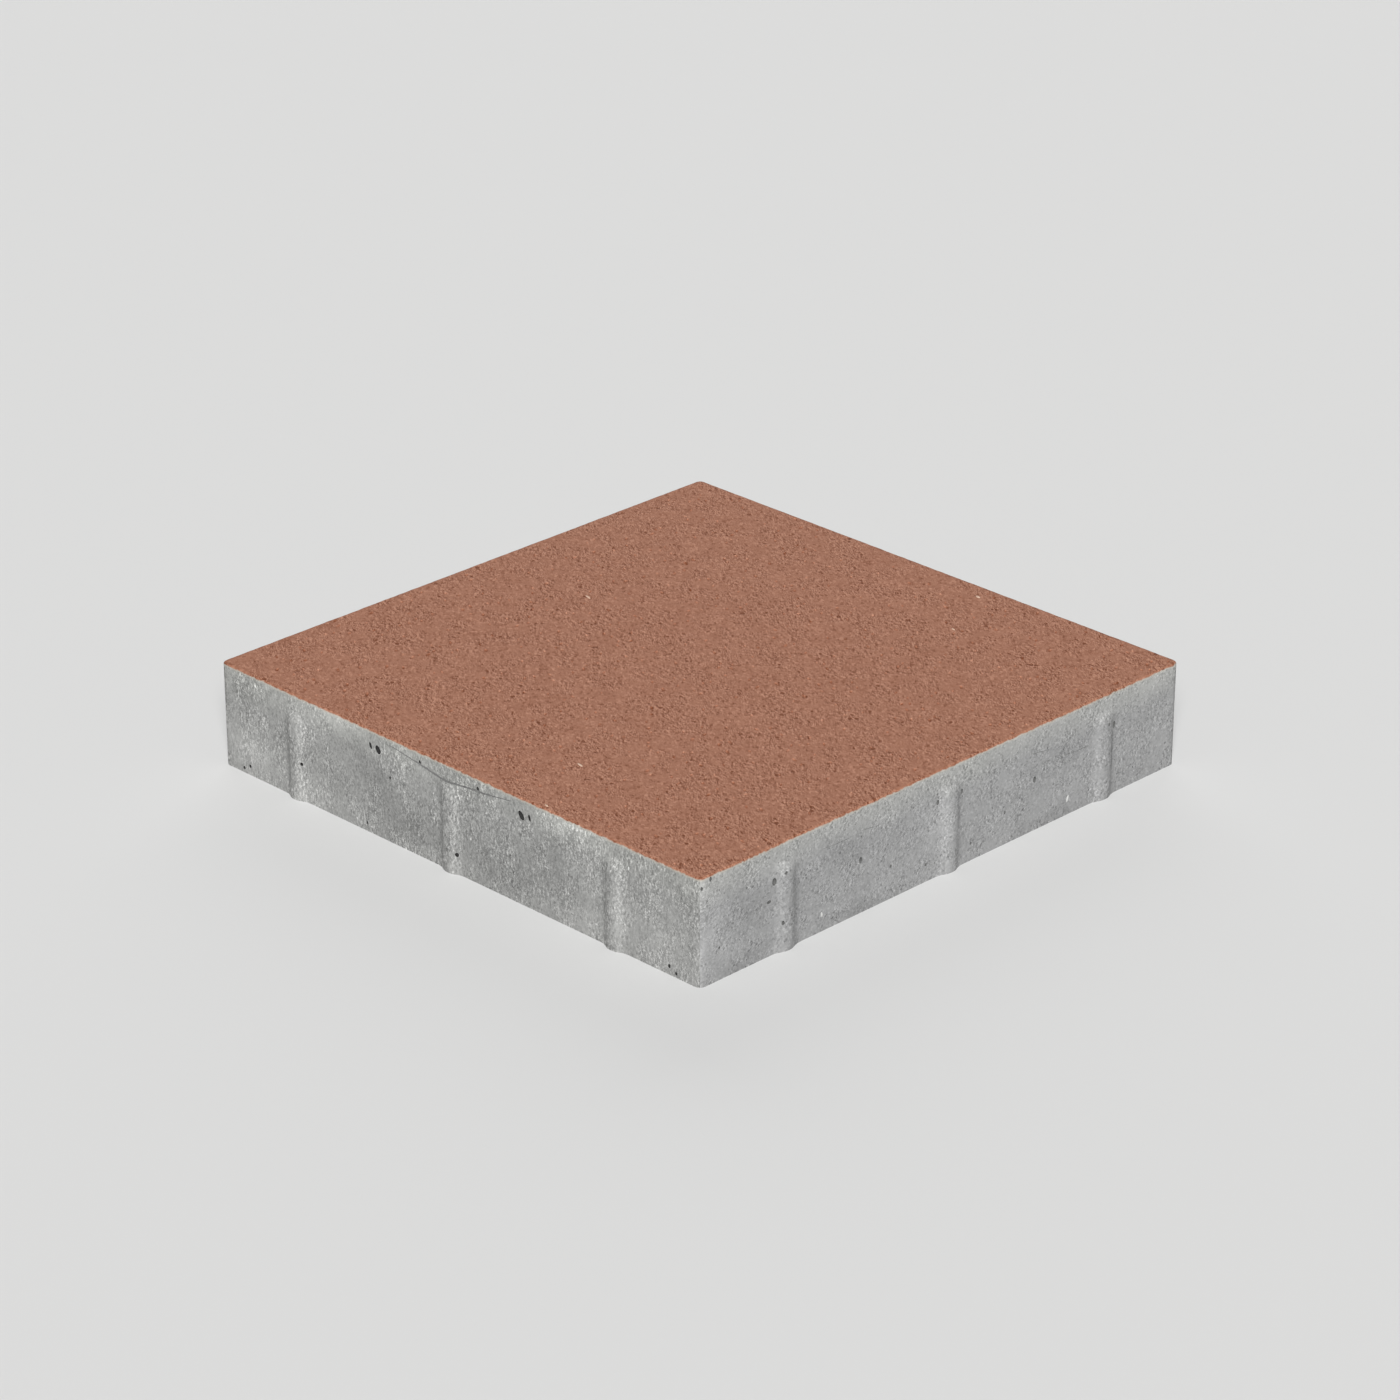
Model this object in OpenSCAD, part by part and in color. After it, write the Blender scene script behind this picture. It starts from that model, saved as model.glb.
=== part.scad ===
// Square concrete paving stone with a coloured walking face, rounded upright corners
// and three spacer nibs on each side. It lies on its bed: the origin is the middle of
// the bed, +Z is up through the walking face, and all sizes are in millimetres.

/* [Slab] */
// Length of each side of the slab, between its plain side faces
slab_side = 300; // [200:1:600]
// Thickness from the bed to the walking face
slab_thickness = 50; // [30:1:100]
// Radius of the four upright corners
corner_radius = 3; // [1.5:0.5:10]
// Radius of the arris all round the walking face
arris_radius = 1; // [0.5:0.1:1.4]

/* [Spacer nibs] */
// Number of nibs on each side, evenly spaced and half a space from the corners
nibs_per_side = 3; // [1:1:5]
// Width of a nib at its foot on the side face
nib_foot_width = 10.5; // [9:0.5:16]
// Width of a nib's crest, measured before its edges are rounded
nib_crest_width = 5.5; // [3:0.5:7]
// How far a nib stands out from the side face
nib_projection = 2; // [1.5:0.1:4]
// Radius of a nib's crest edges
nib_edge_radius = 1; // [0.4:0.1:1.4]
// Depth of a nib's round top end below the walking face
nib_top_depth = 8; // [3:0.5:15]

/* [Hidden] */
$fn = 96;
// How deep a nib's root runs into the slab that it was cast with
nib_root_depth = 1;
half_side = slab_side / 2;
corner_centre = half_side - corner_radius;
arris_height = slab_thickness - arris_radius;
nib_pitch = slab_side / nibs_per_side;
first_nib = nib_pitch / 2 - half_side;
half_foot = nib_foot_width / 2;
half_crest = nib_crest_width / 2;
nib_round_height = slab_thickness - nib_top_depth - half_foot;
// Slope of a nib's flanks, and the length that its edge radius takes off crest and flank
flank_angle = atan2(nib_projection, half_foot - half_crest);
edge_tangent = nib_edge_radius * tan(flank_angle / 2);
edge_centre = half_crest - edge_tangent;
flank_end = half_crest + edge_tangent * cos(flank_angle);
flank_end_height = nib_projection - edge_tangent * sin(flank_angle);

// Puts a copy of its children at each of the four upright corners
module at_corners() {
    for (x = [-1, 1], y = [-1, 1])
        translate([x * corner_centre, y * corner_centre])
            children();
}

// Outline of the slab seen from above, without its nibs
module slab_outline() {
    square([slab_side, 2 * corner_centre], center = true);
    square([2 * corner_centre, slab_side], center = true);
    at_corners() circle(corner_radius);
}

// Section of the rim between the arris and a line at a given depth behind it
module rim_section(depth) {
    square([depth - arris_radius, arris_radius]);
    translate([depth - arris_radius, 0])
        intersection() {
            circle(arris_radius);
            square(arris_radius);
        }
}

// Rim bar across the slab, with a rounded arris along both its long edges
module rim_bar() {
    rotate([90, 0, 0])
        linear_extrude(height = 2 * corner_centre, center = true) {
            rim_section(half_side);
            mirror([1, 0]) rim_section(half_side);
        }
}

// Top of the slab, from where the arris starts to curve up to the walking face
module walking_face() {
    rim_bar();
    rotate([0, 0, 90]) rim_bar();
    at_corners() rotate_extrude() rim_section(corner_radius);
}

// Section of a nib: X runs along the side face and Y stands out from it
module nib_section() {
    polygon([
        [-half_foot, -nib_root_depth],
        [half_foot, -nib_root_depth],
        [half_foot, 0],
        [flank_end, flank_end_height],
        [edge_centre, nib_projection],
        [-edge_centre, nib_projection],
        [-flank_end, flank_end_height],
        [-half_foot, 0],
    ]);
    for (x = [-1, 1])
        translate([x * edge_centre, nib_projection - nib_edge_radius])
            circle(nib_edge_radius);
}

// One half of that section, from the middle of the nib outwards
module nib_half_section() {
    intersection() {
        nib_section();
        translate([0, -nib_root_depth])
            square([half_foot, nib_root_depth + nib_projection]);
    }
}

// One nib standing on the bed level: a straight rib that ends in a round top
module nib() {
    linear_extrude(height = nib_round_height) nib_section();
    translate([0, 0, nib_round_height])
        rotate([90, 0, 180])
            rotate_extrude(angle = 180)
                nib_half_section();
}

// The row of nibs on each of the four sides
module nib_rows() {
    for (side = [0 : 3], place = [0 : nibs_per_side - 1])
        rotate([0, 0, 90 * side])
            translate([first_nib + place * nib_pitch, half_side, 0])
                nib();
}

module paving_stone() {
    // Red pigmented face
    color("#a0725e")
        translate([0, 0, arris_height])
            walking_face();
    // Plain grey concrete below it
    color("#9b9b99") {
        linear_extrude(height = arris_height) slab_outline();
        nib_rows();
    }
}

paving_stone();
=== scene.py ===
import math
import random

import bpy
from mathutils import Euler, Matrix, Vector


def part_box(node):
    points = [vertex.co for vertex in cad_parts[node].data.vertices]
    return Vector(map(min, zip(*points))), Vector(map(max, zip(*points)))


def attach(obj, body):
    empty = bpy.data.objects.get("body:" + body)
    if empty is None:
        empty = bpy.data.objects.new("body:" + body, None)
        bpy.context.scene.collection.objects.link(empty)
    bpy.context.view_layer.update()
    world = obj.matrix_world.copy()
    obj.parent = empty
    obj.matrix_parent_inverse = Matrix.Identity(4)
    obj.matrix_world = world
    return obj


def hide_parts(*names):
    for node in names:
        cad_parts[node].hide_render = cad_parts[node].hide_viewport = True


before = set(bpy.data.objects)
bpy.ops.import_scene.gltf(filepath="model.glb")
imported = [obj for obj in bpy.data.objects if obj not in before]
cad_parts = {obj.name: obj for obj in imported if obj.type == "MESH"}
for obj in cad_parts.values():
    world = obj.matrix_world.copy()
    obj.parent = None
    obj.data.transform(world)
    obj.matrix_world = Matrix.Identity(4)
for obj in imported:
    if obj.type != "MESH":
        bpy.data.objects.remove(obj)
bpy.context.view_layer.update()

# The slab: concrete pressed into a steel mould, a red pigmented face mix over a grey backing
# mix that set as one stone. The mould leaves upright sides, rounded corners and a tight arris.
mm = 0.001
tiny = 0.01 * mm
nib_projection = 2 * mm
stone_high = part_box("paving_stone")[1]
half_side = stone_high.x - nib_projection
slab_height = stone_high.z
corner_radius = 3 * mm
arris_radius = 1 * mm
arris_segments = 3
face_cells = 180
cell = 2 * half_side / face_cells

# Rows of side faces: above the nibs' round ends, beside those ends, and below them
nib_half_foot = 5.25 * mm
nib_end_height = slab_height - 8 * mm
nib_round_height = nib_end_height - nib_half_foot
side_rows = [
    (slab_height, nib_end_height, 4),
    (nib_end_height, nib_round_height, 7),
    (nib_round_height, 0, 15),
]

bpy.ops.object.select_all(action="DESELECT")
bpy.ops.mesh.primitive_grid_add(
    x_subdivisions=face_cells,
    y_subdivisions=face_cells,
    size=2 * half_side,
    location=(0, 0, slab_height),
)
stone = bpy.context.object
stone.name = "pressed_slab"
bpy.ops.object.transform_apply(location=True, rotation=True, scale=True)
bpy.ops.object.mode_set(mode="EDIT")
bpy.ops.mesh.select_mode(type="EDGE")
bpy.ops.mesh.select_all(action="SELECT")
bpy.ops.mesh.region_to_loop()
for row_top, row_bottom, count in side_rows:
    for _ in range(count):
        drop = (row_bottom - row_top) / count
        bpy.ops.mesh.extrude_edges_move(TRANSFORM_OT_translate={"value": (0, 0, drop)})
bpy.ops.mesh.edge_face_add()
bpy.ops.mesh.select_all(action="SELECT")
bpy.ops.mesh.normals_make_consistent(inside=False)
bpy.ops.mesh.select_all(action="DESELECT")
bpy.ops.object.mode_set(mode="OBJECT")


def past_corner(place):
    """How far a point lies past the centre of its nearest upright corner, along X and along Y."""
    corner_centre = half_side - corner_radius
    return abs(place.x) - corner_centre, abs(place.y) - corner_centre


# The square corners are drawn in to round ones
for vertex in stone.data.vertices:
    past_x, past_y = past_corner(vertex.co)
    if past_x > 0 and past_y > 0:
        pull = 1 - max(past_x, past_y) / math.hypot(past_x, past_y)
        vertex.co.x -= math.copysign(past_x * pull, vertex.co.x)
        vertex.co.y -= math.copysign(past_y * pull, vertex.co.y)


def on_rim(vertex):
    """Whether a point lies on the upper edge of the slab."""
    past_x, past_y = past_corner(vertex.co)
    reach = math.hypot(max(past_x, 0), max(past_y, 0))
    return vertex.co.z > slab_height - tiny and reach > corner_radius - tiny


rim = [on_rim(vertex) for vertex in stone.data.vertices]
for edge in stone.data.edges:
    edge.select = rim[edge.vertices[0]] and rim[edge.vertices[1]]
bpy.ops.object.mode_set(mode="EDIT")
bpy.ops.mesh.bevel(offset=arris_radius, segments=arris_segments, affect="EDGES", clamp_overlap=False)
bpy.ops.object.mode_set(mode="OBJECT")

# Spacer nibs: ribs cast with the slab, three to a side, that hold its neighbours off. Columns of
# side faces slide to a nib's crest edge, flank and foot, and are then drawn out to the ribs' shape.
nib_places = [2 * half_side / 3 * step for step in (-1, 0, 1)]
nib_columns = [0, 2.4 * mm, 3.02 * mm, nib_half_foot]
slide_start = slab_height - 3 * mm


def slid(along, height):
    """Where a column of side faces stands once it has slid to the nearest nib's edges."""
    nib = min(nib_places, key=lambda place: abs(place - along))
    column = round(abs(along - nib) / cell)
    if column >= len(nib_columns):
        return along
    wanted = nib + math.copysign(nib_columns[column], along - nib)
    share = min((slide_start - height) / (slide_start - nib_end_height), 1)
    return along + share * (wanted - along)


# The lowest row is lifted a hair while the ribs are drawn out, so that it meets them too
skins = {axis: stone.vertex_groups.new(name="skin_" + axis) for axis in "xy"}
for vertex in stone.data.vertices:
    place = vertex.co
    if place.z > slide_start or max(abs(place.x), abs(place.y)) < half_side - tiny:
        continue
    if abs(place.y) > half_side - tiny:
        place.x = slid(place.x, place.z)
        skins["y"].add([vertex.index], 1, "REPLACE")
    else:
        place.y = slid(place.y, place.z)
        skins["x"].add([vertex.index], 1, "REPLACE")
    place.z = max(place.z, tiny)

bpy.context.view_layer.objects.active = stone
for axis in "xy":
    ribs = stone.modifiers.new("ribs", "SHRINKWRAP")
    ribs.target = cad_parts["paving_stone"]
    ribs.wrap_method = "PROJECT"
    setattr(ribs, "use_project_" + axis, True)
    ribs.use_negative_direction = True
    ribs.project_limit = 2 * nib_projection
    ribs.vertex_group = "skin_" + axis
    bpy.ops.object.modifier_apply(modifier="ribs")

# The ribs came soft out of the mould: their crests swell a little and their edges are rounded over,
# at the right and left more than at the front and back
soft_reach = 1.6 * nib_half_foot
for axis, swelling, softness in (("y", 0.12, 7), ("x", 0.1, 10)):
    nib_skin = stone.vertex_groups.new(name="nib_skin_" + axis)
    for vertex in stone.data.vertices:
        place = vertex.co
        along, out = (place.x, place.y) if axis == "y" else (place.y, place.x)
        from_nib = min(abs(along - nib) for nib in nib_places)
        if abs(out) < half_side - tiny or from_nib > soft_reach or place.z > slide_start:
            continue
        swell = math.copysign((abs(out) - half_side) * swelling, out)
        setattr(place, axis, out + swell)
        nib_skin.add([vertex.index], 1, "REPLACE")
    soften = stone.modifiers.new("soft_edges", "SMOOTH")
    soften.vertex_group = nib_skin.name
    soften.use_z = False
    soften.factor = 0.5
    soften.iterations = softness
    bpy.ops.object.modifier_apply(modifier="soft_edges")
for vertex in stone.data.vertices:
    if vertex.co.z < 2 * tiny:
        vertex.co.z = 0


# Red face mix: sand, cement and iron oxide, pressed smooth but open, with sandy patches full of pinholes.
# Its colour holds
# painted light: a painted highlight on one side of each pinhole, painted shade in it. The same kind of
# skin, without pigment, is on the sides and bed.
def add(tree, kind, inputs=None, **settings):
    """Adds a node, with its settings, and sets or links its inputs."""
    node = tree.nodes.new(kind)
    for name, value in settings.items():
        setattr(node, name, value)
    for name, value in (inputs or {}).items():
        if isinstance(value, bpy.types.NodeSocket):
            tree.links.new(value, node.inputs[name])
        else:
            node.inputs[name].default_value = value
    return node


def maths(tree, operation, first, second=0.0, clamp=False):
    """The outcome of one sum."""
    node = add(tree, "ShaderNodeMath", {0: first, 1: second}, operation=operation, use_clamp=clamp)
    return node.outputs[0]


def summed(tree, start, parts):
    """A value plus several others, each times its own weight."""
    total = start
    for value, weight in parts:
        total = maths(tree, "ADD", total, maths(tree, "MULTIPLY", value, weight))
    return total


def moved(tree, operation, place, inputs):
    """A place in space after one vector sum."""
    return add(tree, "ShaderNodeVectorMath", {0: place, **inputs}, operation=operation).outputs[0]


def blended(tree, share, start, end):
    """A colour between two others."""
    return add(tree, "ShaderNodeMix", {0: share, 6: start, 7: end}, data_type="RGBA").outputs[2]


def ranged(tree, value, low, high, to_low=0.0, to_high=1.0):
    """A value moved from one range to another, and held within it."""
    names = ("Value", "From Min", "From Max", "To Min", "To Max")
    node = add(tree, "ShaderNodeMapRange", dict(zip(names, (value, low, high, to_low, to_high))))
    return node.outputs["Result"]


def clouds(tree, place, count, detail=2.0, roughness=0.5):
    """Soft noise with this many lumps to a metre, from 0 to 1."""
    inputs = {"Vector": place, "Scale": count, "Detail": detail, "Roughness": roughness}
    return add(tree, "ShaderNodeTexNoise", inputs).outputs["Fac"]


def wavering(tree, *cloud_settings):
    """Soft noise about zero."""
    return maths(tree, "SUBTRACT", clouds(tree, *cloud_settings), 0.5)


def grain_cells(tree, place, count):
    """Cells like packed grains: how far the nearest middle is, and a chance number for each cell."""
    cells = add(tree, "ShaderNodeTexVoronoi", {"Vector": place, "Scale": count}).outputs
    chance = add(tree, "ShaderNodeSeparateColor", {"Color": cells["Color"]}).outputs["Red"]
    return cells["Distance"], chance


def height_of(tree, place):
    """How high a place lies above the bed."""
    return add(tree, "ShaderNodeSeparateXYZ", {0: place}).outputs["Z"]


def new_group(name, inputs, outputs):
    """An empty node group with named sockets: the group, its inputs and its outputs."""
    group = bpy.data.node_groups.new(name, "ShaderNodeTree")
    for label, kind in inputs:
        group.interface.new_socket(label, in_out="INPUT", socket_type="NodeSocket" + kind)
    for label, kind in outputs:
        group.interface.new_socket(label, in_out="OUTPUT", socket_type="NodeSocket" + kind)
    start, end = group.nodes.new("NodeGroupInput"), group.nodes.new("NodeGroupOutput")
    return group, start.outputs, end.inputs


def use_group(tree, group, **inputs):
    """Places a node group with its inputs set or linked, and gives its outputs."""
    return add(tree, "ShaderNodeGroup", inputs, node_tree=group).outputs


# The form of the skin: sand grain and pinholes, both stronger in some patches than in others
skin_counts = [("Grains", "Float"), ("Pinholes", "Float"), ("Patches", "Float")]
skin_form, form_in, form_out = new_group(
    "skin_form",
    [("Place", "Vector"), *skin_counts],
    [("Height", "Float"), ("Pinhole", "Float")],
)
smooth_patch, sandy_patch = 0.3, 1.38
largest_pinhole = 0.34
pinhole_depth = 0.2
pinhole_steepness = 8
patch_noise = clouds(skin_form, form_in["Place"], form_in["Patches"], 3)
patch = ranged(skin_form, patch_noise, 0.4, 0.6, smooth_patch, sandy_patch)
grain_noise = wavering(skin_form, form_in["Place"], form_in["Grains"], 4, 0.78)
grain = maths(skin_form, "MULTIPLY", grain_noise, patch)
from_middle, chance = grain_cells(skin_form, form_in["Place"], form_in["Pinholes"])
hole_radius = ranged(skin_form, chance, 0.5, 1, 0, largest_pinhole)
hole_radius = maths(skin_form, "MULTIPLY", hole_radius, patch)
inside = maths(skin_form, "SUBTRACT", hole_radius, from_middle)
hole = maths(skin_form, "MULTIPLY", inside, pinhole_steepness, clamp=True)
skin_form.links.new(summed(skin_form, grain, [(hole, -pinhole_depth)]), form_out["Height"])
skin_form.links.new(hole, form_out["Pinhole"])

# The skin, with specks of painted highlight and shade, pale on one side of its hollows and dark on the
# other, and with single sand grains of their own tone
sandy_skin, skin_in, skin_out = new_group(
    "sandy_skin",
    [("Place", "Vector"), *skin_counts, ("Lip", "Vector")],
    [("Height", "Float"), ("Pinhole", "Float"), ("Painted_Relief_Light", "Float"), ("Sand", "Float")],
)
sand_fineness, sand_contrast = 1.5, 8
counts = {name: skin_in[name] for name, _ in skin_counts}
here = use_group(sandy_skin, skin_form, Place=skin_in["Place"], **counts)
past_shade_offset = moved(sandy_skin, "ADD", skin_in["Place"], {1: skin_in["Lip"]})
beyond = use_group(sandy_skin, skin_form, Place=past_shade_offset, **counts)
sandy_skin.links.new(here["Height"], skin_out["Height"])
sandy_skin.links.new(here["Pinhole"], skin_out["Pinhole"])
sandy_skin.links.new(maths(sandy_skin, "SUBTRACT", here["Height"], beyond["Height"]), skin_out["Painted_Relief_Light"])
sand_count = maths(sandy_skin, "MULTIPLY", skin_in["Grains"], sand_fineness)
sand_tone = grain_cells(sandy_skin, skin_in["Place"], sand_count)[1]
sand_tone = maths(sandy_skin, "SUBTRACT", sand_tone, 0.5)
few_strong = maths(sandy_skin, "POWER", maths(sandy_skin, "ABSOLUTE", sand_tone), 2)
few_strong = maths(sandy_skin, "MULTIPLY", few_strong, sand_contrast)
sandy_skin.links.new(maths(sandy_skin, "MULTIPLY", sand_tone, few_strong), skin_out["Sand"])

# The red mix itself, drawn out a little the way that the press plate slid
red_mix, mix_in, mix_out = new_group(
    "red_mix",
    [("Place", "Vector"), ("Dirt", "Float")],
    [("Colour", "Color"), ("Height", "Float")],
)
plate_slide, slide_stretch = math.radians(-45), 1.35
deep_red, pale_red = (0.178, 0.053, 0.0211, 1), (0.516, 0.259, 0.171, 1)
darkest_shade, palest_shade = 0.4, 1.6
face_relief = 0.4
pit_dirt_and_shade, proud_wear = 0.34, 0.35
pit_floor, pit_rim = slab_height - 0.6 * mm, slab_height - 0.1 * mm
grain_foot, grain_top = slab_height + 0.1 * mm, slab_height + 0.35 * mm
drag = add(
    red_mix,
    "ShaderNodeMapping",
    {"Vector": mix_in["Place"], "Rotation": (0, 0, plate_slide), "Scale": (slide_stretch, 1, 1)},
    vector_type="TEXTURE",
).outputs[0]
skin = use_group(
    red_mix,
    sandy_skin,
    Place=drag,
    Grains=560,
    Pinholes=360,
    Patches=110,
    Lip=(0.22 * mm, -0.35 * mm, 0),
)
mottle = wavering(red_mix, drag, 80, 4, 0.85)
shade = summed(
    red_mix,
    1.0,
    [
        # Painted highlight and shade: pale on one side of each hollow, dark on the other
        (skin["Painted_Relief_Light"], 2.8),
        # Painted shade in the pinholes
        (skin["Pinhole"], -0.32),
        # Painted shade in the hollows of the grain and painted highlight on its bumps
        (skin["Height"], 1.2),
        (skin["Sand"], 0.36),
        (mottle, 0.4),
    ],
)
height = height_of(red_mix, mix_in["Place"])
# Darker deep in the pits cut into the face, partly dirt and partly painted shade; the tops of proud
# grains are worn paler
in_pit = ranged(red_mix, height, pit_floor, pit_rim, pit_dirt_and_shade, 0)
on_grain = ranged(red_mix, height, grain_foot, grain_top, 0, proud_wear)
pit_dirt_shade_and_grain_wear = maths(red_mix, "MULTIPLY", maths(red_mix, "SUBTRACT", on_grain, in_pit), mix_in["Dirt"])
shade = maths(red_mix, "MULTIPLY", shade, maths(red_mix, "ADD", pit_dirt_shade_and_grain_wear, 1))
red_tone = blended(red_mix, ranged(red_mix, shade, darkest_shade, palest_shade), deep_red, pale_red)
red_mix.links.new(red_tone, mix_out["Colour"])
red_mix.links.new(maths(red_mix, "MULTIPLY", skin["Height"], face_relief), mix_out["Height"])


def new_material(name, roughness):
    """An empty matt material: its node tree, its shader and its place on the stone."""
    material = bpy.data.materials.new(name)
    material.use_nodes = True
    tree = material.node_tree
    shader = tree.nodes["Principled BSDF"]
    shader.inputs["Roughness"].default_value = roughness
    shader.inputs["Specular IOR Level"].default_value = 0.25
    place = add(tree, "ShaderNodeTexCoord").outputs["Object"]
    return material, tree, shader, place


def finish_material(tree, shader, colour, relief):
    """Joins a colour and a relief in millimetres to the shader."""
    bump = add(tree, "ShaderNodeBump", {"Height": relief, "Distance": mm})
    tree.links.new(colour, shader.inputs["Base Color"])
    tree.links.new(bump.outputs["Normal"], shader.inputs["Normal"])


red_face, tree, shader, place = new_material("red_face", 0.85)
mix = use_group(tree, red_mix, Place=place, Dirt=1)
finish_material(tree, shader, mix["Colour"], mix["Height"])


# Grey backing mix on the sides: plain cement and sand, dragged upwards as the slab left its mould.
# The red laps a little over the arris with a ragged edge, and the top centimetre or so is paler.
red_lap, lap_in, lap_out = new_group(
    "red_lap",
    [("Place", "Vector")],
    [("Red", "Float"), ("Line", "Float"), ("Upper", "Float")],
)
lap_rag, pale_rag = 2 * mm, 12 * mm
line_foot, lap_foot, lap_top = [slab_height - drop * mm for drop in (1.8, 1, 0.5)]
pale_foot, pale_head = slab_height - 15 * mm, slab_height - 1 * mm
height = height_of(red_lap, lap_in["Place"])
rag = wavering(red_lap, lap_in["Place"], 260, 4, 0.7)
lap_edge = summed(red_lap, height, [(rag, lap_rag)])
lap = ranged(red_lap, lap_edge, lap_foot, lap_top)
# A pale line just under the red lap: wear of the arris and a painted highlight where it turns to the
# light
line = ranged(red_lap, lap_edge, line_foot, lap_foot)
red_lap.links.new(lap, lap_out["Red"])
red_lap.links.new(maths(red_lap, "SUBTRACT", line, lap), lap_out["Line"])
wander = wavering(red_lap, lap_in["Place"], 30, 3)
pale_edge = summed(red_lap, height, [(wander, pale_rag)])
red_lap.links.new(ranged(red_lap, pale_edge, pale_foot, pale_head), lap_out["Upper"])


def soft_spots(tree, place, spots):
    """Broad soft patches on a side: each has its middle, its radii and how much it lightens."""
    drift_reach = 24 * mm
    noise = add(tree, "ShaderNodeTexNoise", {"Vector": place, "Scale": 70, "Detail": 2})
    drift = moved(tree, "SUBTRACT", noise.outputs["Color"], {1: (0.5, 0.5, 0.5)})
    drift = moved(tree, "SCALE", drift, {3: drift_reach})
    ragged = moved(tree, "ADD", place, {1: drift})
    parts = []
    for middle, radii, lift in spots:
        middle_m, radii_m = [[mm * part for part in triple] for triple in (middle, radii)]
        inputs = {"Vector": ragged, "Location": middle_m, "Scale": radii_m}
        from_spot = add(tree, "ShaderNodeMapping", inputs, vector_type="TEXTURE").outputs[0]
        spot = add(tree, "ShaderNodeTexGradient", {"Vector": from_spot}, gradient_type="QUADRATIC_SPHERE")
        parts.append((spot.outputs["Fac"], lift))
    return summed(tree, 0.0, parts)


def rib_highlight_strip(tree, place, height):
    """A strip of painted highlight up one flank of each nib at the front and back, fading out below its
    round end.
    """
    pitch = nib_places[2]
    strip_offset, strip_half_width, strip_fade = 3.6 * mm, 1.8 * mm, 6 * mm
    along = add(tree, "ShaderNodeSeparateXYZ", {0: place}).outputs["X"]
    along = maths(tree, "FLOORED_MODULO", maths(tree, "ADD", along, half_side), pitch)
    from_strip = maths(tree, "ABSOLUTE", maths(tree, "SUBTRACT", along, pitch / 2 + strip_offset))
    strip = ranged(tree, from_strip, 0, strip_half_width, 1, 0)
    below_end = ranged(tree, height, nib_end_height - strip_fade, nib_end_height, 1, 0)
    return maths(tree, "MULTIPLY", strip, below_end)


def grey_side(name, tones, grains, stretch, relief_light_weights, shadow, blotches, relief, rib_highlight, spots):
    """Material of a pair of sides: tones and the painted highlight and shade of the specks run from the
    lower part of a side to its top.
    """
    pinhole_shade_tone, pinhole_shade_strength = (0.13, 0.13, 0.125, 1), 0.15
    arris_wear_and_highlight_tone, arris_wear_and_highlight_strength = (0.5, 0.46, 0.38, 1), 0.6
    relief_light_low, relief_light_high, deepest_relief_shade = 30 * mm, slab_height - 4 * mm, -0.2
    shade_offset = (-0.5 * mm, -0.5 * mm, 0)
    material, tree, shader, place = new_material(name, 0.85)
    height = height_of(tree, place)
    drawn = add(tree, "ShaderNodeMapping", {"Vector": place, "Scale": (1, 1, stretch)}).outputs[0]
    skin = use_group(tree, sandy_skin, Place=drawn, Grains=grains, Pinholes=480, Patches=110, Lip=shade_offset)
    lap = use_group(tree, red_lap, Place=place)
    mix = use_group(tree, red_mix, Place=place, Dirt=0)
    blotch = wavering(tree, drawn, 55, 1.5)
    # Painted highlight and shade of the specks, stronger towards the top, with its darkest part held back
    relief_light = ranged(tree, height, relief_light_low, relief_light_high, *relief_light_weights)
    relief_light = maths(tree, "MAXIMUM", maths(tree, "MULTIPLY", skin["Painted_Relief_Light"], relief_light), deepest_relief_shade)
    shade = summed(
        tree,
        1.0,
        [
            (skin["Height"], shadow),
            (relief_light, 1),
            (skin["Sand"], 0.22),
            (blotch, blotches),
            (soft_spots(tree, place, spots), 1),
            # Painted highlight up one flank of each nib
            (rib_highlight_strip(tree, place, height), rib_highlight),
        ],
    )
    colour = blended(tree, lap["Upper"], *tones)
    # Painted shade: the pinholes darkened towards a dark grey
    pinhole_shade = maths(tree, "MULTIPLY", skin["Pinhole"], pinhole_shade_strength)
    colour = blended(tree, pinhole_shade, colour, pinhole_shade_tone)
    colour = add(tree, "ShaderNodeHueSaturation", {"Color": colour, "Value": shade}).outputs[0]
    # The pale line under the red lap: wear and painted highlight of the arris
    on_line = maths(tree, "MULTIPLY", lap["Line"], arris_wear_and_highlight_strength)
    colour = blended(tree, on_line, colour, arris_wear_and_highlight_tone)
    colour = blended(tree, lap["Red"], colour, mix["Colour"])
    finish_material(tree, shader, colour, summed(tree, 0.0, [(skin["Height"], relief), (blotch, relief)]))
    return material


# Middles and radii of the paler and darker patches, in millimetres, and how much each lightens
rough_spots = [
    ((-74, -150, 48), (36, 20, 14), 0.6),
    ((76, -150, 48), (34, 20, 14), 0.62),
    ((-55, -150, 22), (48, 20, 24), -0.24),
    ((-22, -150, 14), (38, 20, 26), -0.24),
    ((35, -150, 12), (44, 20, 24), -0.26),
    ((62, -150, 25), (26, 20, 14), -0.16),
    ((-130, -150, 10), (36, 20, 20), 0.27),
    ((-90, -150, 6), (34, 20, 16), 0.26),
    ((125, -150, 12), (38, 20, 22), 0.3),
    ((86, -150, 5), (26, 20, 14), 0.2),
    ((-136, -150, 42), (14, 20, 9), -0.2),
    ((136, -150, 41), (14, 20, 9), -0.16),
    # Painted shade down the front corner
    ((150, -150, 25), (8, 8, 90), -0.2),
]
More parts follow.
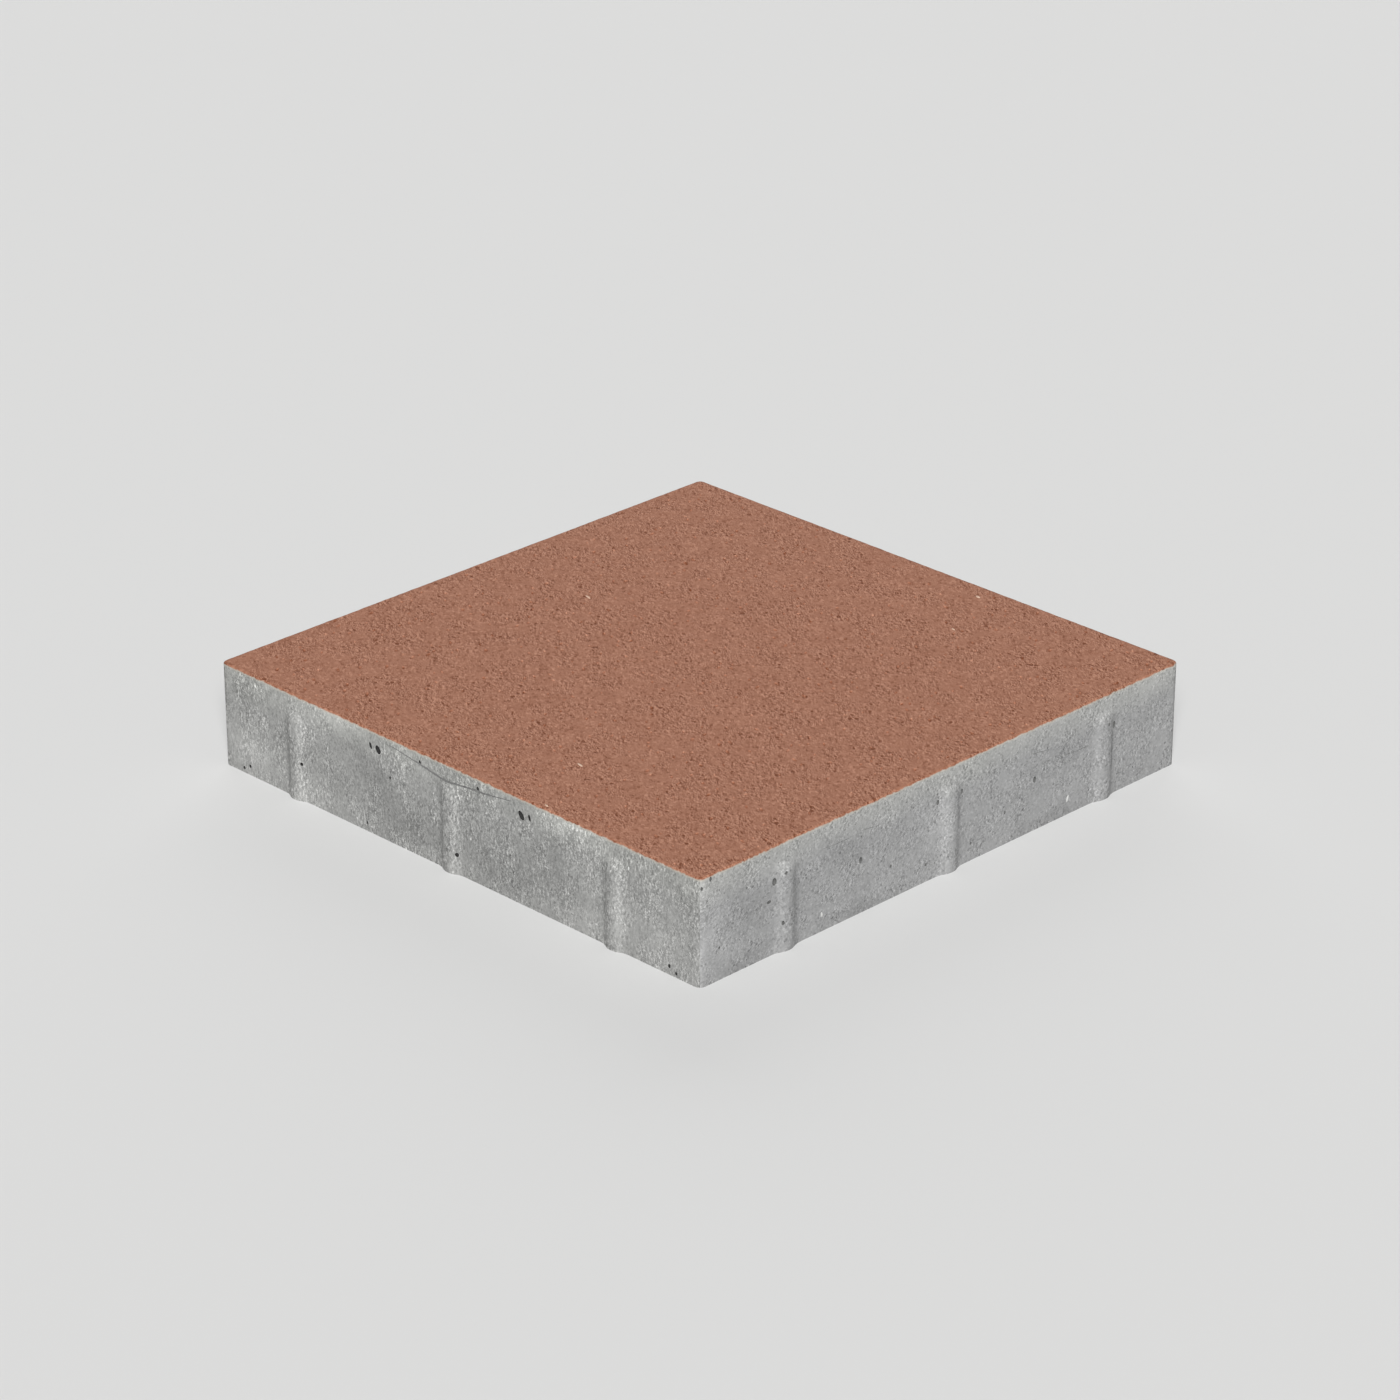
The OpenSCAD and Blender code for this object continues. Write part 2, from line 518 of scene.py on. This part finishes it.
smooth_spots = [
    ((150, -125, 28), (20, 30, 13), -0.17),
    ((150, -65, 29), (20, 34, 14), -0.17),
    ((150, 65, 29), (20, 34, 12), -0.17),
    ((150, 124, 28), (20, 24, 12), -0.15),
    ((150, -125, 1), (20, 34, 9), -0.2),
    ((150, -60, 1), (20, 46, 9), -0.28),
    ((150, 65, 1), (20, 46, 9), -0.26),
    ((150, -10, 24), (20, 30, 18), 0.08),
    # Painted highlight on the right side beside the front corner
    ((150, -143, 25), (20, 16, 50), 0.24),
    # Painted shade down the front corner
    ((150, -150, 25), (7, 7, 90), -0.15),
]
rough_side = grey_side(
    "rough_side",
    tones=[(0.32, 0.32, 0.311, 1), (0.35, 0.352, 0.335, 1)],
    grains=820,
    stretch=0.7,
    relief_light_weights=(3.3, 4.6),
    shadow=0.2,
    blotches=0.4,
    relief=0.45,
    rib_highlight=0.14,
    spots=rough_spots,
)
smooth_side = grey_side(
    "smooth_side",
    tones=[(0.338, 0.338, 0.337, 1), (0.405, 0.406, 0.391, 1)],
    grains=580,
    stretch=1.2,
    relief_light_weights=(1.45, 1.55),
    shadow=0.4,
    blotches=0.26,
    relief=0.35,
    rib_highlight=0,
    spots=smooth_spots,
)

# Bed: the underside of the grey mix, left open and flat as it came off the press. It is coarser
# than the sides, and no pigment reaches it.
bed_grey, bed_pinhole_shade_tone = (0.32, 0.32, 0.312, 1), (0.12, 0.12, 0.115, 1)
bed, tree, shader, place = new_material("bed", 0.9)
skin = use_group(
    tree,
    sandy_skin,
    Place=place,
    Grains=380,
    Pinholes=180,
    Patches=40,
    Lip=(0.5 * mm, 0.5 * mm, 0),
)
# Painted shade: the bed's pinholes darkened towards a dark grey
bed_tone = blended(tree, maths(tree, "MULTIPLY", skin["Pinhole"], 0.6), bed_grey, bed_pinhole_shade_tone)
# Painted highlight and shade of the bed's specks
bed_shade = summed(tree, 1.0, [(skin["Painted_Relief_Light"], 1.5)])
bed_tone = add(tree, "ShaderNodeHueSaturation", {"Color": bed_tone, "Value": bed_shade}).outputs[0]
finish_material(tree, shader, bed_tone, skin["Height"])

# Each mix on its own faces of the slab
for material in (red_face, rough_side, smooth_side, bed):
    stone.data.materials.append(material)
face_slot, rough_slot, smooth_slot, bed_slot = range(4)
near_level = 0.99
for polygon in stone.data.polygons:
    normal = polygon.normal
    if normal.z > near_level:
        polygon.material_index = face_slot
    elif normal.z < -near_level:
        polygon.material_index = bed_slot
    elif abs(normal.y) > abs(normal.x):
        polygon.material_index = rough_slot
    else:
        polygon.material_index = smooth_slot

# Pinholes and raised grains of the walking face: holes that air left under the press, and sand
# grains that stand a little proud. Each is a flattened ball, cut from the face or set into it.
chance_list = random.Random(11)
pinhole_count, proud_grain_count = 520, 180
lump_gap = 3.2 * mm
rim_clearance = 2.5 * mm
outline_size = 0.9 * mm
pinhole_rag, proud_grain_rag = 0.35 * mm, 0.3 * mm


def spread(count, others):
    """Places on the walking face, none nearer than the gap to another."""
    reach = half_side - rim_clearance
    places = []
    while len(places) < count:
        across, along = chance_list.uniform(-reach, reach), chance_list.uniform(-reach, reach)
        place = Vector((across, along, slab_height))
        if all((place - other).length > lump_gap for other in places + others):
            places.append(place)
    return places


def flattened(places, widths, stretch, depths):
    """Balls at these places, longest near the way that the press plate slid."""
    stray = 35
    shapes = []
    for place in places:
        width = chance_list.triangular(*widths) * mm
        length = width * chance_list.uniform(*stretch)
        size = Vector((length, width, chance_list.uniform(*depths) * mm))
        turn = Euler((0, 0, plate_slide + math.radians(chance_list.uniform(-stray, stray))))
        shapes.append((place, turn, size))
    return shapes


def uneven(piece, name, lump_size, depth, direction="NORMAL", group=""):
    """Moves a piece's skin in and out by soft noise."""
    texture = bpy.data.textures.new(name, "CLOUDS")
    texture.noise_scale = lump_size
    texture.noise_depth = 2
    ripple = piece.modifiers.new(name, "DISPLACE")
    ripple.texture = texture
    ripple.texture_coords = "LOCAL"
    ripple.direction = direction
    ripple.vertex_group = group
    ripple.strength = depth
    bpy.context.view_layer.objects.active = piece
    bpy.ops.object.modifier_apply(modifier=name)


def lumps(name, shapes, material, ragged):
    """One mesh of rough lumps, each a copy of one ball with its own place, turn and size."""
    bpy.ops.object.select_all(action="DESELECT")
    bpy.ops.mesh.primitive_ico_sphere_add(subdivisions=2, radius=1)
    ball = bpy.context.object
    ball.name = name
    ball.data.materials.append(material)
    for place, turn, size in shapes[1:]:
        copy = ball.copy()
        copy.data = ball.data.copy()
        copy.matrix_world = Matrix.LocRotScale(place, turn, size)
        bpy.context.collection.objects.link(copy)
        copy.select_set(True)
    ball.matrix_world = Matrix.LocRotScale(*shapes[0])
    bpy.ops.object.join()
    bpy.ops.object.transform_apply(location=True, rotation=True, scale=True)
    uneven(ball, name + "_outline", outline_size, ragged)
    return ball


def choose(piece):
    """Makes one piece the only one that is selected, and the active one."""
    bpy.ops.object.select_all(action="DESELECT")
    piece.select_set(True)
    bpy.context.view_layer.objects.active = piece


def shape_stone(tools, operation):
    """Cuts tool meshes from the stone, or fuses them on, and clears them away."""
    choose(tools[0])
    for tool in tools[1:]:
        tool.select_set(True)
    bpy.ops.object.join()
    work = stone.modifiers.new("shaping", "BOOLEAN")
    work.object = tools[0]
    work.operation = operation
    work.solver = "EXACT"
    work.material_mode = "TRANSFER"
    bpy.context.view_layer.objects.active = stone
    bpy.ops.object.modifier_apply(modifier="shaping")
    bpy.data.objects.remove(tools[0])


hole_places = spread(pinhole_count, [])
grain_places = spread(proud_grain_count, hole_places)
hole_shapes = flattened(hole_places, widths=(0.45, 1.0, 0.6), stretch=(1.4, 2.4), depths=(0.45, 0.8))
grain_shapes = flattened(grain_places, widths=(0.4, 0.85, 0.5), stretch=(1.4, 2.2), depths=(0.3, 0.5))
hollows = [lumps("pinholes", hole_shapes, red_face, pinhole_rag)]
grains = [lumps("sand_grains", grain_shapes, red_face, proud_grain_rag)]


# Pale grit: a few grains of light stone in the mix that the press bared, in the walking face and
# low on the right side. They stand a little proud of the skin around them.
def two_toned(name, roughness, lump_count, darkest, palest):
    """A plain material that wanders between two tones."""
    material, tree, shader, place = new_material(name, roughness)
    tone = blended(tree, clouds(tree, place, lump_count), darkest, palest)
    tree.links.new(tone, shader.inputs["Base Color"])
    return material


rosy_grit = two_toned("rosy_grit", 0.7, 700, (0.48, 0.32, 0.23, 1), (0.72, 0.52, 0.4, 1))
white_grit = two_toned("white_grit", 0.7, 700, (0.42, 0.42, 0.41, 1), (0.64, 0.64, 0.62, 1))
grit_rag = 0.2 * mm

# Place across and along the face, half length and half width, in millimetres
face_grit = [
    (-86.3, 14, 2, 0.5),
    (39.1, -110.7, 2, 0.6),
    (39.6, 139.8, 1.6, 0.7),
    (56, 105, 1.2, 0.5),
    (57.4, -147.4, 1.2, 0.5),
]
face_grit_half_height = 0.35 * mm
face_grit_turn = Euler((0, 0, math.radians(-12)))
grit_shapes = []
for across, along, half_length, half_width in face_grit:
    place = Vector((across * mm, along * mm, slab_height))
    size = Vector((half_length * mm, half_width * mm, face_grit_half_height))
    grit_shapes.append((place, face_grit_turn, size))
grains.append(lumps("face_grit", grit_shapes, rosy_grit, grit_rag))

# Place along the side, height and half height in millimetres, and lean in degrees
side_grit = [(-78.4, 7.7, 1.4, 12), (76.8, 7.7, 1.8, -18)]
side_grit_half_depth, side_grit_half_width = 0.4 * mm, 0.7 * mm
grit_shapes = []
for along, height, half_height, lean in side_grit:
    place = Vector((half_side, along * mm, height * mm))
    size = Vector((side_grit_half_depth, side_grit_half_width, half_height * mm))
    grit_shapes.append((place, Euler((math.radians(lean), 0, 0)), size))
grains.append(lumps("side_grit", grit_shapes, white_grit, grit_rag))
shape_stone(grains, "UNION")

# Air pores of the sides: bubbles that the press left against the mould walls, open on the skin and
# dark inside, where dust and shade gather. Each has its place along the side, its height, its width
# and its tall size in millimetres, and its lean in degrees.
# Painted shade: dark walls for the hollows cut below, near-black for the front pores and the crack, dark
# grey for the other pores and the scratches
pore_shade_wall = two_toned("pore_shade_wall", 0.95, 900, (0.012, 0.012, 0.012, 1), (0.04, 0.04, 0.038, 1))
shallow_shade_wall = two_toned("shallow_shade_wall", 0.95, 900, (0.06, 0.06, 0.058, 1), (0.17, 0.17, 0.165, 1))
front_pores = [
    (-50.2, 42.3, 1.3, 2.9, -20), (-45.4, 41.8, 2.5, 3.6, -35), (44.6, 41.9, 2.5, 4.1, -42),
    (49.7, 42.4, 1.3, 2.8, -15), (-18.5, 45, 1.1, 1.8, -20), (18, 45, 1.2, 1.8, -20),
    (-95.7, 18.2, 1.2, 1.4, 0), (4.7, 9.5, 1.6, 1.7, 0), (-136.7, 2.3, 1.2, 1.4, 0),
    (-132.5, 4.3, 1.2, 1.5, 0), (132.3, 4, 1.3, 1.6, 0), (136.3, 2, 1.2, 1.4, 0),
    (-38, 31, 1, 1.3, 0), (-54, 4, 1, 1.2, 0),
]
right_pores = [
    (-107.1, 33.5, 2, 3, 0), (-101.9, 36.4, 1.2, 1.3, 0), (-103.2, 13.6, 1.2, 1.8, 0),
    (-8, 35.3, 1.4, 2, 0), (7, 35.3, 1.4, 2, 0), (-55.3, 24.8, 1.6, 2.6, 0),
    (54.3, 24.6, 1.6, 2.6, 0), (-36.6, 15.4, 1, 1.2, 0), (35.4, 15.4, 1, 1.2, 0),
    (-14.7, 8.2, 1, 1.3, 0), (13.7, 8.2, 1, 1.3, 0), (101, 36, 1.2, 1.3, 0),
    (106.2, 33.7, 2, 3, 0), (-139, 15, 1, 1.1, 0), (-110, 25.2, 2.2, 1.2, 0),
    (-148.6, 45.1, 0.9, 1.5, 0), (-144, 48, 1.2, 2, 0),
]
front, right, back, left = (quarter * math.pi / 2 for quarter in range(4))
pore_radius_share = 0.58
pore_rag = 0.3 * mm
front_pore_depth, right_pore_depth, far_pore_depth = 1.5 * mm, 0.9 * mm, 1 * mm


def on_side(along, height, side_turn):
    """The place on a side's skin at this many millimetres along it and up it."""
    start = Vector((along * mm, -2 * half_side, height * mm))
    way = Vector((0, 1, 0))
    for vector in (start, way):
        vector.rotate(Euler((0, 0, side_turn)))
    return stone.ray_cast(start, way)[1]


def pore_shapes(pores, side_turn, depth):
    """Balls that make the pores of one side."""
    shapes = []
    for along, height, wide, tall, lean in pores:
        size = Vector((wide * pore_radius_share * mm, depth, tall * pore_radius_share * mm))
        turn = Euler((0, math.radians(lean), side_turn))
        shapes.append((on_side(along, height, side_turn), turn, size))
    return shapes


front_shapes = pore_shapes(front_pores, front, front_pore_depth)
right_shapes = pore_shapes(right_pores, right, right_pore_depth)
hollows.append(lumps("front_pores", front_shapes, pore_shade_wall, pore_rag))
hollows.append(lumps("right_pores", right_shapes, shallow_shade_wall, pore_rag))

# The two sides out of view have pores of the same sizes at places of their own
far_pore_count, far_pore_start, far_pore_pitch, far_pore_stray = 13, -140, 23.3, 6
far_shapes = []
for side_turn in (back, left):
    far_pores = []
    for step in range(far_pore_count):
        stray = chance_list.uniform(-far_pore_stray, far_pore_stray)
        along = far_pore_start + far_pore_pitch * step + stray
        wide = chance_list.triangular(0.9, 2.6, 1.1)
        height = chance_list.uniform(5, 44)
        far_pores.append((along, height, wide, wide * chance_list.uniform(1, 1.5), 0))
    far_shapes += pore_shapes(far_pores, side_turn, far_pore_depth)
hollows.append(lumps("far_pores", far_shapes, shallow_shade_wall, pore_rag))

# Joint line: where the face mix sagged over the backing mix at the front, a thin open seam is left
# between the two. A finer crack runs down beside the last nib on the right side, and faint level
# scratches cross that side. Each point has its place in millimetres and its share of the width.
joint_half_width, crack_half_width, scratch_half_width = 0.52 * mm, 0.25 * mm, 0.14 * mm
seam_wander = 1.5 * mm
# Painted shade: grey walls for the open seam
seam_shade_wall = two_toned("seam_shade_wall", 0.95, 900, (0.11, 0.11, 0.107, 1), (0.25, 0.25, 0.244, 1))
joint_points = [
    (-38, 46.6, 0.4), (-32, 45.9, 0.45), (-26, 45.1, 0.5), (-23, 44.7, 0.6), (-19.5, 44.4, 1),
    (-17, 43.8, 0.8), (-14, 43.6, 1.1), (-11, 42.9, 0.9), (-8, 42.6, 1.2), (-5, 42.1, 1),
    (-2, 42, 1.2), (1, 42.1, 0.9), (4, 42.5, 1.1), (7, 42.7, 0.8), (10, 43.2, 1.1),
    (14, 43.5, 0.9), (18, 44, 1.2), (21, 43.9, 0.8), (24, 44.4, 0.7), (28, 44.9, 0.6),
    (33, 45.7, 0.5), (38, 46.3, 0.5),
]
crack_points = [(104.6, 31, 0.6), (104.9, 27, 1), (104.7, 20, 1), (105, 12, 0.6)]
scratches = [
    [(-78.4, 38.2, 0.6), (-70, 37.8, 1), (-62, 37.6, 0.6)],
    [(-55.5, 38.5, 0.6), (-50, 38, 1), (-44.5, 37.3, 0.6)],
    [(52, 37.5, 0.6), (57.3, 36.8, 1), (63, 35.9, 0.6)],
    [(73.6, 29.8, 0.6), (81.4, 29.1, 1), (89.6, 29, 0.6)],
]


def seam(name, points, side_turn, half_width, material):
    """A thin wandering tube along the points of a side, to be cut into it as an open seam."""
    path = bpy.data.curves.new(name, "CURVE")
    path.dimensions = "3D"
    path.bevel_depth = half_width
    path.bevel_resolution = 1
    path.use_fill_caps = True
    spline = path.splines.new("POLY")
    spline.points.add(len(points) - 1)
    for spot, (along, height, width_share) in zip(spline.points, points):
        spot.co = (*on_side(along, height, side_turn), 1)
        spot.radius = width_share
    tube = bpy.data.objects.new(name, path)
    bpy.context.collection.objects.link(tube)
    choose(tube)
    bpy.ops.object.convert(target="MESH")
    tube.data.materials.append(material)
    bpy.ops.object.mode_set(mode="EDIT")
    bpy.ops.mesh.select_all(action="SELECT")
    bpy.ops.mesh.remove_doubles(threshold=tiny / 10)
    bpy.ops.mesh.subdivide(number_cuts=2)
    bpy.ops.object.mode_set(mode="OBJECT")
    uneven(tube, name + "_outline", seam_wander, half_width / 3)
    return tube


joint_line = seam("joint_line", joint_points, front, joint_half_width, seam_shade_wall)
hollows.append(seam("nib_crack", crack_points, right, crack_half_width, pore_shade_wall))
for scratch_points in scratches:
    hollows.append(seam("scratch", scratch_points, right, scratch_half_width, seam_shade_wall))
shape_stone(hollows, "DIFFERENCE")
shape_stone([joint_line], "DIFFERENCE")

choose(stone)
bpy.ops.object.mode_set(mode="EDIT")
bpy.ops.mesh.select_all(action="SELECT")
bpy.ops.mesh.remove_doubles(threshold=tiny)
bpy.ops.mesh.dissolve_degenerate(threshold=tiny)
bpy.ops.object.mode_set(mode="OBJECT")

# Uneven skin: the pressed face, the mould walls and the worn arris of a cast stone are never quite
# flat. Each ripples by a fraction of a millimetre, and the bed stays level.
face_fade, wall_fade, foot_fade = 3 * mm, 5 * mm, 3 * mm
arris_reach = 1.2 * arris_radius
face_skin = stone.vertex_groups.new(name="face_skin")
wall_skin = stone.vertex_groups.new(name="wall_skin")
arris_skin = stone.vertex_groups.new(name="arris_skin")
for vertex in stone.data.vertices:
    place = vertex.co
    from_edge = half_side - max(abs(place.x), abs(place.y))
    below_face = slab_height - place.z
    if below_face < arris_radius and from_edge > arris_radius:
        face_skin.add([vertex.index], min((from_edge - arris_radius) / face_fade, 1), "REPLACE")
    elif below_face > arris_radius and place.z > tiny:
        wall_skin.add([vertex.index], min(below_face / wall_fade, place.z / foot_fade, 1), "REPLACE")
    if below_face < arris_reach and from_edge < arris_reach:
        arris_skin.add([vertex.index], 1, "REPLACE")
uneven(stone, "pressed_ripple", 6 * mm, 0.25 * mm, "Z", "face_skin")
uneven(stone, "mould_ripple", 9 * mm, 0.2 * mm, "NORMAL", "wall_skin")
uneven(stone, "worn_arris", 4 * mm, 0.25 * mm, "NORMAL", "arris_skin")

choose(stone)
bpy.ops.object.shade_smooth_by_angle(angle=math.radians(50))

# Its skin laid flat for baked colours: the walking face, two sides above it, two sides beside it, and
# the bed, made small, in the corner that is left
skin_map = stone.data.uv_layers.new(name="OFBake")
sheet_gap = 2 * mm
face_rim = 1.5 * arris_radius
stone_side = 2 * stone_high.x
second = stone_side + sheet_gap
third = second + slab_height + sheet_gap
sheet = third + slab_height + sheet_gap
for polygon in stone.data.polygons:
    middle = polygon.center
    from_edge = half_side - max(abs(middle.x), abs(middle.y))
    on_top = middle.z > slab_height - face_rim
    on_face = on_top and (from_edge > face_rim or polygon.normal.z > 0.7)
    for corner in polygon.loop_indices:
        x, y, z = stone.data.vertices[stone.data.loops[corner].vertex_index].co
        along_x, along_y = x + stone_high.x, y + stone_high.x
        if polygon.material_index == bed_slot:
            across, up = second + along_x / 3, second + (stone_side - along_y) / 3
        elif on_face:
            across, up = along_x, along_y
        elif abs(middle.y) > abs(middle.x):
            across, up = (along_x, second + z) if middle.y < 0 else (second + z, along_x)
        else:
            across, up = (along_y, third + z) if middle.x > 0 else (third + z, along_y)
        skin_map.uv[corner].vector = ((across + sheet_gap / 2) / sheet, (up + sheet_gap / 2) / sheet)

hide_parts("paving_stone")
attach(stone, "root")

# Studio: a pale matt floor, a soft light from the camera's side, a weak low one from behind and an
# even white sky. Floor and sky look paler to the camera than the light that they give the stone.
floor_size = 12
floor_tone_lit, floor_tone_seen = (0.36, 0.36, 0.357, 1), (0.72, 0.72, 0.715, 1)
sky_strength_lit, sky_strength_seen = 0.2, 0.72
bpy.ops.object.select_all(action="DESELECT")
bpy.ops.mesh.primitive_plane_add(size=floor_size, location=(0, 0, 0))
floor = bpy.context.object
floor.name = "floor"
floor_paint = bpy.data.materials.new("floor_paint")
floor_paint.use_nodes = True
tree = floor_paint.node_tree
shader = tree.nodes["Principled BSDF"]
seen = add(tree, "ShaderNodeLightPath").outputs["Is Camera Ray"]
tree.links.new(blended(tree, seen, floor_tone_lit, floor_tone_seen), shader.inputs["Base Color"])
shader.inputs["Roughness"].default_value = 0.9
shader.inputs["Specular IOR Level"].default_value = 0.1
floor.data.materials.append(floor_paint)

world = bpy.data.worlds.new("studio")
bpy.context.scene.world = world
world.use_nodes = True
tree = world.node_tree
sky = tree.nodes["Background"]
sky.inputs["Color"].default_value = (1, 1, 1, 1)
seen = add(tree, "ShaderNodeLightPath").outputs["Is Camera Ray"]
tree.links.new(ranged(tree, seen, 0, 1, sky_strength_lit, sky_strength_seen), sky.inputs["Strength"])

view_turn = math.radians(45)
view_rise = math.radians(24.9)
view_distance = 2.0937
view_middle = Vector((0, 0, 31.1 * mm))


def towards(turn, rise):
    """The way to something that stands at this turn round the stone and this rise above level."""
    return Vector((math.sin(turn) * math.cos(rise), -math.cos(turn) * math.cos(rise), math.sin(rise)))


def aim(obj, target, direction, distance):
    """Stands a lamp or camera off from a target, and turns it to face that."""
    obj.location = target + distance * direction
    obj.rotation_euler = direction.to_track_quat("Z", "Y").to_euler()


def sun(name, angle, strength, turn, rise):
    """A far, even light whose strength is what a white face square to it shows."""
    lamp_distance = 2
    light = bpy.data.lights.new(name, "SUN")
    light.angle = math.radians(angle)
    light.energy = strength * math.pi
    lamp = bpy.data.objects.new(name, light)
    bpy.context.scene.collection.objects.link(lamp)
    aim(lamp, Vector((0, 0, 0)), towards(turn, math.radians(rise)), lamp_distance)


sun("key", angle=20, strength=1.25, turn=view_turn, rise=34)
sun("fill", angle=60, strength=0.45, turn=view_turn + math.pi, rise=8)

lens = bpy.data.cameras.new("camera")
lens.sensor_width = 36
lens.lens = 121.17
camera = bpy.data.objects.new("camera", lens)
bpy.context.scene.collection.objects.link(camera)
aim(camera, view_middle, towards(view_turn, view_rise), view_distance)
bpy.context.scene.camera = camera
bpy.context.scene.view_settings.view_transform = "Standard"
